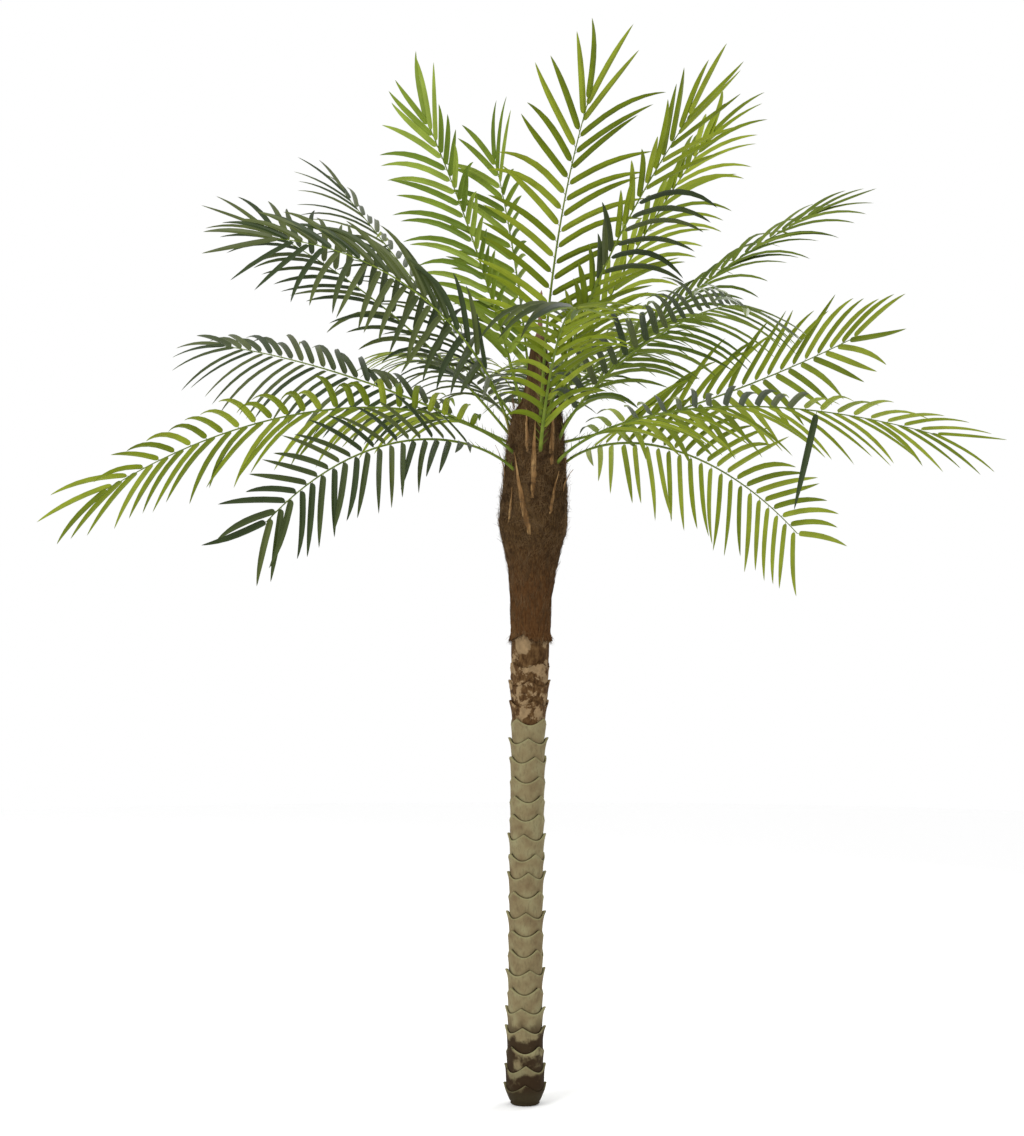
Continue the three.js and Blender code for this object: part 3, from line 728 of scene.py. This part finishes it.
# Of the rib: azimuth at the foot, swing round, height of the foot, elevation at foot and
# end with the easing between them, length, and roll. Of the leaflets: opening of the
# right and the left row and of both at the end, lift off the rib's plane, and sag.
FRONDS = {
    "frond_left_long": (216, -34, 1.800, 40, -32, 0.58, 1.19, 42, 50, 72, 12, 24, 1.2),
    "frond_left_drooping": (224, 6, 1.752, 36, -38, 0.62, 0.96, -60, 50, 44, 16, 24, 0.4),
    "frond_left_level": (152, -14, 1.825, 25, 9, 1, 1.12, -42, 38, 66, 6, 4, 0.9),
    "frond_left_arching": (172, -4, 1.862, 76, 6, 0.9, 0.92, -58, 26, 100, 14, 24, 0.7),
    "frond_left_slanting": (160, -5, 1.848, 50, 27, 1, 0.99, -30, 54, 54, 12, 24, 0.8),
    "frond_left_back": (134, -4, 1.880, 46, 40, 1, 1.08, 6, 40, 40, 12, -6, 0.7),
    "frond_left_upright": (122, 4, 1.905, 66, 55, 1, 1.03, -70, 70, 36, 12, 44, 0.6),
    "frond_back_upright": (100, 8, 1.905, 67, 55, 1, 0.89, -58, 100, 38, 12, 44, 0.5),
    "frond_top": (279, 16, 1.900, 74, 54, 1, 0.885, 0, 48, 56, 8, 16, 0.5),
    "frond_front": (279, -4, 1.805, 62, -12, 0.9, 0.84, 0, 54, 42, 12, 24, 0.8),
    "frond_right_upright": (294, 22, 1.892, 54, 46, 1, 0.96, -4, 24, 64, 12, 18, 0.35),
    "frond_right_back": (40, 0, 1.892, 66, 47, 0.7, 1.06, 20, 46, 18, 12, 24, 0.9),
    "frond_right_slanting": (14, -2, 1.870, 52, 28, 1, 0.96, 22, 24, 30, 8, 14, 0.9),
    "frond_right_front": (327, -52, 1.838, 68, -12, 0.55, 1.04, -26, 50, 50, 18, 16, 0.9),
    "frond_right_level": (24, 0, 1.828, 13, 25, 1, 1.00, -70, 44, 50, 18, 14, 0.5),
    "frond_right_long": (320, 32, 1.773, 50, -16, 0.4, 1.10, -24, 68, 40, 24, 0, 0.7),
    "frond_right_drooping": (38, 2, 1.752, 62, -37, 0.38, 1.02, -75, 52, 54, 40, 10, 0.5),
    "frond_rear_right": (66, 0, 1.862, 36, 10, 1, 0.98, 0, 54, 54, 12, 24, 1.1),
    "frond_rear_left": (116, -6, 1.846, 32, 4, 1, 0.98, 0, 54, 54, 12, 24, 1.1),
    "frond_rear_low": (86, 0, 1.822, 36, 0, 1, 0.96, 0, 54, 54, 12, 24, 1.1),
}
RIB_STEPS = 60
RIB_BARE = 0.17
RIB_SIDES = 8
RIB_HALF_WIDTH = (0.0060, 0.0014)
RIB_HALF_DEPTH = (0.0046, 0.0010)
RIB_ROOT = 0.012
RIB_TAPER = 0.55
SPINES = 13
SPINE_LENGTH = 0.018
SPINE_STRAY = 0.014
SPINE_RADIUS = 0.0012
SPINE_TIP = 0.0002
SPINE_OFFSET = 0.004
UP = Vector((0.0, 0.0, 1.0))


def rib_axes(frond, share):
    """Along the rib, out of its upper face, and across it."""
    azimuth, swing, foot, rise, end, ease, length, roll = frond[:8]
    heading = math.radians(azimuth + swing * share)
    climb = math.radians(mix(rise, end, share ** ease))
    out = Vector((math.cos(heading), math.sin(heading), 0.0))
    along = out * math.cos(climb) + UP * math.sin(climb)
    flat = UP * math.cos(climb) - out * math.sin(climb)
    level = along.cross(flat)
    rolled = math.radians(roll * min(1.0, 3.0 * share))
    face = flat * math.cos(rolled) + level * math.sin(rolled)
    return along, face, along.cross(face)


def rib_line(frond):
    """Points along a rib, from the sleeve to its end."""
    azimuth, foot, length = frond[0], frond[2], frond[6]
    points = [around(math.radians(azimuth), profile_at(SLEEVE, foot), foot)]
    for step in range(RIB_STEPS):
        along = rib_axes(frond, (step + 0.5) / RIB_STEPS)[0]
        points.append(points[-1] + along * (length / RIB_STEPS))
    return points


def rib_ring(shape, point, along, face, side, wide, deep, capped):
    """One ring of a rib, across it, as the edges to bridge from."""
    turned = Matrix((side * wide, face * deep, along)).transposed().to_4x4()
    turned.translation = point
    made = bmesh.ops.create_circle(shape, cap_ends=capped, segments=RIB_SIDES, radius=1.0, matrix=turned)
    return list({edge for vertex in made["verts"] for edge in vertex.link_edges})


rib_material, tree, shader = new_material("rib_green", 0.55, 0.06)
link(tree, ramp(tree, speckle(tree, 30.0), [(0.3, (0.085, 0.130, 0.016)), (0.7, (0.160, 0.205, 0.030))]),
     shader.inputs["Base Color"])
relief(tree, shader, speckle(tree, 300.0, 2.0, stretch=(1.0, 1.0, 0.4)), 0.2, 0.0005)

for number, (name, frond) in enumerate(FRONDS.items()):
    rib_shape = bmesh.new()
    points = rib_line(frond)
    rings = []
    for step in range(-1, RIB_STEPS + 1):
        share = max(step, 0) / RIB_STEPS
        along, face, side = rib_axes(frond, share)
        point = points[step] if step >= 0 else points[0] - along * RIB_ROOT
        wide = mix(*RIB_HALF_WIDTH, share ** RIB_TAPER)
        deep = mix(*RIB_HALF_DEPTH, share ** RIB_TAPER)
        capped = step in (-1, RIB_STEPS)
        rings.append(rib_ring(rib_shape, point, along, face, side, wide, deep, capped))
    for near, far in zip(rings, rings[1:]):
        bmesh.ops.bridge_loops(rib_shape, edges=near + far)
    bmesh.ops.recalc_face_normals(rib_shape, faces=rib_shape.faces)
    for spine in range(SPINES):
        share = mix(0.015, RIB_BARE * 1.02, spine / (SPINES - 1))
        along, face, side = rib_axes(frond, share)
        hand = 1.0 if spine % 2 else -1.0
        leaning = (along * 0.9 + side * hand * 0.8 + face * 0.45).normalized()
        long = SPINE_LENGTH + SPINE_STRAY * (scatter(number * 31 + spine) + 0.5)
        step = int(share * RIB_STEPS)
        root = points[step].lerp(points[step + 1], share * RIB_STEPS - step)
        root += side * hand * SPINE_OFFSET
        turned = leaning.to_track_quat("Z", "Y").to_matrix().to_4x4()
        turned.translation = root + leaning * long * 0.5
        bmesh.ops.create_cone(rib_shape, cap_ends=True, segments=5, radius1=SPINE_RADIUS,
                              radius2=SPINE_TIP, depth=long, matrix=turned)
    for face in rib_shape.faces:
        face.smooth = True
    rib = finished("rib_" + name[6:], rib_shape, [rib_material])
    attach(rib, "root")
    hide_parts(name)

# ---------------------------------------------------------------- leaflets
# Each rib carries two rows of cloth leaflets on short pins. A leaflet is a folded
# strip with a blunt foot and a long point, coated dark and glossy on its upper side
# and yellow-green below. It opens at an angle to the rib and sags under its weight.

LEAFLET_PITCH = 0.043
LEAFLET_LENGTH = 0.250
LEAFLET_HALF_WIDTH = 0.0094
LEAFLET_THICK = 0.0011
LEAFLET_FOLD = math.radians(20.0)
LEAFLET_TWIST = 24.0
LENGTH_STRAY = 0.12
FIRST_LEAFLETS = 0.08
FIRST_SHORTER = 0.8
END_SHORTER = 0.86
OPEN_BEND = 6.0
ANGLE_STRAY = 10.0
LIFT_KEPT = 0.6
SAG_KEPT = 0.25
SAG_KEPT_BEND = 5
SAG_STRAY = 0.5
SAG_BEND = 1.2
SWERVE = 0.7

# Along a leaflet: how far out a row is, and the share of the full width there.
LEAFLET_ROWS = [
    (0.000, 0.10), (0.035, 0.10), (0.042, 0.48), (0.056, 0.76), (0.085, 0.93), (0.16, 1.00),
    (0.34, 1.00), (0.50, 0.97), (0.65, 0.86), (0.78, 0.66), (0.89, 0.41), (0.96, 0.20), (1.0, 0.0),
]
# Slots of a frond's leaflets: three tones above, three below, the pin, three dark tones.
UNDER_SLOT = 3
PIN_SLOT = 6
DARK_SLOT = 7


def leaflet_line(frond, points, share, hand, bare, stray, seed):
    """Points along a leaflet's middle, with the direction and the face at each."""
    reach = mix(bare, 1.0, share)
    turned, longer, heavier = stray
    along, face, side = rib_axes(frond, reach)
    step = min(int(reach * RIB_STEPS), RIB_STEPS - 1)
    place = points[step].lerp(points[step + 1], reach * RIB_STEPS - step)
    right, left, end, lift, sag = frond[8:]
    opening = mix(right if hand > 0 else left, end, share ** OPEN_BEND)
    opening = math.radians(opening + ANGLE_STRAY * scatter(seed))
    rise = math.radians(lift * mix(1.0, LIFT_KEPT, share) + ANGLE_STRAY * scatter(seed + 0.37))
    out = side * hand * math.cos(rise) + face * math.sin(rise)
    start = along * math.cos(opening) + out * math.sin(opening)
    sag *= heavier * mix(1.0, SAG_KEPT, share ** SAG_KEPT_BEND)
    sag *= 1.0 + SAG_STRAY * scatter(seed + 0.71)
    shorter = mix(END_SHORTER, 1.0, math.sin(math.pi * share))
    if share < FIRST_LEAFLETS:
        shorter = FIRST_SHORTER
    length = LEAFLET_LENGTH * longer * shorter * (1.0 + LENGTH_STRAY * scatter(seed + 0.19))
    swerve = start.cross(face) * SWERVE * scatter(seed + 0.63)
    turned = math.radians(turned)
    twist = math.radians(LEAFLET_TWIST * scatter(seed + 0.53))
    rows = []
    previous = 0.0
    for where, width in LEAFLET_ROWS:
        middle = 0.5 * (where + previous)
        heading = (start - UP * (sag * middle ** SAG_BEND) + swerve * middle ** 2).normalized()
        place = place + heading * (length * (where - previous))
        upper = (face - heading * face.dot(heading)).normalized()
        upper = Matrix.Rotation(turned + twist * where, 3, heading) @ upper
        rows.append((place, heading, upper, width))
        previous = where
    return rows


def add_leaflet(vertices, faces, finishes, rows, upper_slot, under_slot):
    """Adds a leaflet's thin folded solid: left edge, crest, right edge and keel a row."""
    start = len(vertices)
    for place, heading, upper, width in rows[:-1]:
        across = heading.cross(upper)
        half = LEAFLET_HALF_WIDTH * width
        thick = 0.5 * LEAFLET_THICK
        edge = across * (half * math.cos(LEAFLET_FOLD))
        lifted = place + upper * (half * math.sin(LEAFLET_FOLD))
        vertices += [lifted + edge, place + upper * thick, lifted - edge, place - upper * thick]
    vertices.append(rows[-1][0])
    count = len(rows) - 1
    finish = (upper_slot, upper_slot, under_slot, under_slot)
    for row in range(count - 1):
        near = start + 4 * row
        for corner in range(4):
            following = (corner + 1) % 4
            faces.append((near + corner, near + following, near + 4 + following, near + 4 + corner))
            finishes.append(PIN_SLOT if row == 0 else finish[corner])
    near = start + 4 * (count - 1)
    tip = start + 4 * count
    for corner in range(4):
        faces.append((near + corner, near + (corner + 1) % 4, tip))
        finishes.append(finish[corner])
    faces.append((start + 3, start + 2, start + 1, start))
    finishes.append(PIN_SLOT)


# The coats of the cloth, each in three tones that are dealt out leaflet by leaflet, and the coats above
# and below on the fronds that aren't dark over pale. Only the dark coat above and the pale one below are
# the cloth's own colours. The second and third coats are the dark upper coat with painted light on it,
# the third lit more strongly. Each frond's pair of coats paints the light and shade on its leaflets: a
# lighter coat where they are lit, and a darker one where they are in shade.
COATS = {
    "dark": [(0.027, 0.044, 0.009), (0.043, 0.061, 0.012), (0.070, 0.089, 0.019)],
    "half_lit": [(0.070, 0.106, 0.010), (0.106, 0.148, 0.013), (0.142, 0.188, 0.024)],
    "lit_upper": [(0.115, 0.172, 0.016), (0.160, 0.224, 0.021), (0.218, 0.287, 0.037)],
    "pale": [(0.140, 0.185, 0.008), (0.185, 0.235, 0.011), (0.240, 0.290, 0.022)],
}
COATED = {
    "left_upright": ("lit_upper", "pale"), "back_upright": ("lit_upper", "pale"),
    "right_back": ("pale", "pale"), "front": ("half_lit", "pale"), "top": ("lit_upper", "pale"),
    "left_long": ("half_lit", "pale"), "right_level": ("half_lit", "pale"),
    "right_drooping": ("half_lit", "pale"), "right_slanting": ("half_lit", "pale"),
    "rear_right": ("half_lit", "pale"), "right_front": ("dark", "half_lit"),
}
# Leaflets bent when the fronds were unfolded: their row, 1 for the right and -1 for the
# left, where along the leafy part they start and stop, how far they are turned about
# themselves in degrees, how many times as long they are and as strongly they sag as the
# rule says, and whether they are dark on both sides.
STRAYS = {
    "left_upright": [(1, 0.0, 0.86, 20, 0.62, 1.0, False)],
    "back_upright": [(1, 0.0, 0.84, 20, 0.55, 1.0, False)],
    "right_front": [(1, 0.0, 1.0, 180, 1.0, 1.0, False)],
    "right_upright": [(1, 0.0, 0.75, 0, 0.65, 1.0, False), (1, 0.34, 0.5, 180, 0.65, 1.0, False),
                      (-1, 0.38, 0.70, 180, 1.0, 3.4, False)],
    "front": [(1, 0.0, 0.55, 0, 0.6, 1.0, False), (1, 0.62, 0.94, -50, 1.3, 1.9, True)],
    "left_long": [(-1, 0.0, 0.92, 0, 0.62, 1.0, False)],
    "right_long": [(1, 0.14, 0.62, 160, 0.85, 1.0, False)],
    "top": [(1, 0.8, 1.0, 0, 1.12, 1.0, False), (-1, 0.8, 1.0, 0, 1.12, 1.0, False)],
    "left_drooping": [(1, 0.0, 0.85, 0, 0.72, 1.0, False)],
}
# Share of the rib without leaflets, where it isn't the usual one.
BARE = {"front": 0.07, "right_front": 0.07, "right_drooping": 0.12, "right_long": 0.12,
        "left_long": 0.12}
# The loose leaflet: the step of the rib that it hangs from, its length and its lean.
LOOSE_STEP = 43
LOOSE_LENGTH = 0.265
LOOSE_LEAN = -0.23

COAT_SHADE = 0.78
coats = {}
for kind, tones in COATS.items():
    gloss = 0.22 if kind == "dark" else 0.1
    for tone, colour in enumerate(tones):
        coat, tree, shader = new_material(f"leaf_{kind}_{tone + 1}", 0.45, gloss)
        shade = tuple(COAT_SHADE * part for part in colour)
        link(tree, ramp(tree, speckle(tree, 14.0, 2.0), [(0.35, shade), (0.65, colour)]),
             shader.inputs["Base Color"])
        coats[kind, tone] = coat

for number, (name, frond) in enumerate(FRONDS.items()):
    points = rib_line(frond)
    vertices = []
    faces = []
    finishes = []
    # Painted light and shade: the coats a frond gets are lighter where its leaflets are lit and darker
    # where they are in shade.
    upper, under = COATED.get(name[6:], ("dark", "pale"))
    bare = BARE.get(name[6:], RIB_BARE)
    slots = [coats[kind, tone] for kind in (upper, under) for tone in range(3)] + [rib_material]
    slots += [coats["dark", tone] for tone in range(3)]
    pairs = round(frond[6] * (1.0 - bare) / LEAFLET_PITCH)
    for pair in range(pairs):
        for hand in (-1.0, 1.0):
            share = (pair + (0.5 if hand > 0 else 0.1)) / (pairs - 0.5)
            seed = 97 * number + 7 * pair + 3 * hand
            stray = (0, 1.0, 1.0)
            tone = int(3.0 * (scatter(seed + 0.91) + 0.5))
            finish = (tone, tone + UNDER_SLOT)
            for row, first, last, *bent, dark in STRAYS.get(name[6:], []):
                if row == hand and first <= share <= last:
                    stray = bent
                    if dark:
                        finish = (tone + DARK_SLOT, tone + DARK_SLOT)
            rows = leaflet_line(frond, points, share, hand, bare, stray, seed)
            add_leaflet(vertices, faces, finishes, rows, *finish)
    if name == "frond_right_long":
        # One dark leaflet has come loose, and hangs straight down from its pin.
        down = Vector((LOOSE_LEAN, 0.0, -1.0)).normalized()
        front = Vector((0.0, -1.0, 0.0))
        rows = [(points[LOOSE_STEP] + down * LOOSE_LENGTH * where, down, front, width)
                for where, width in LEAFLET_ROWS]
        add_leaflet(vertices, faces, finishes, rows, DARK_SLOT, DARK_SLOT)
    leaflets = joined("leaflets_" + name[6:], vertices, faces, slots, finishes)
    creases = leaflets.data.attributes.new("sharp_edge", "BOOLEAN", "EDGE")
    creases.data.foreach_set("value", [abs(a - b) == 4 for a, b in leaflets.data.edge_keys])
    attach(leaflets, "root")
    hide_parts(name)
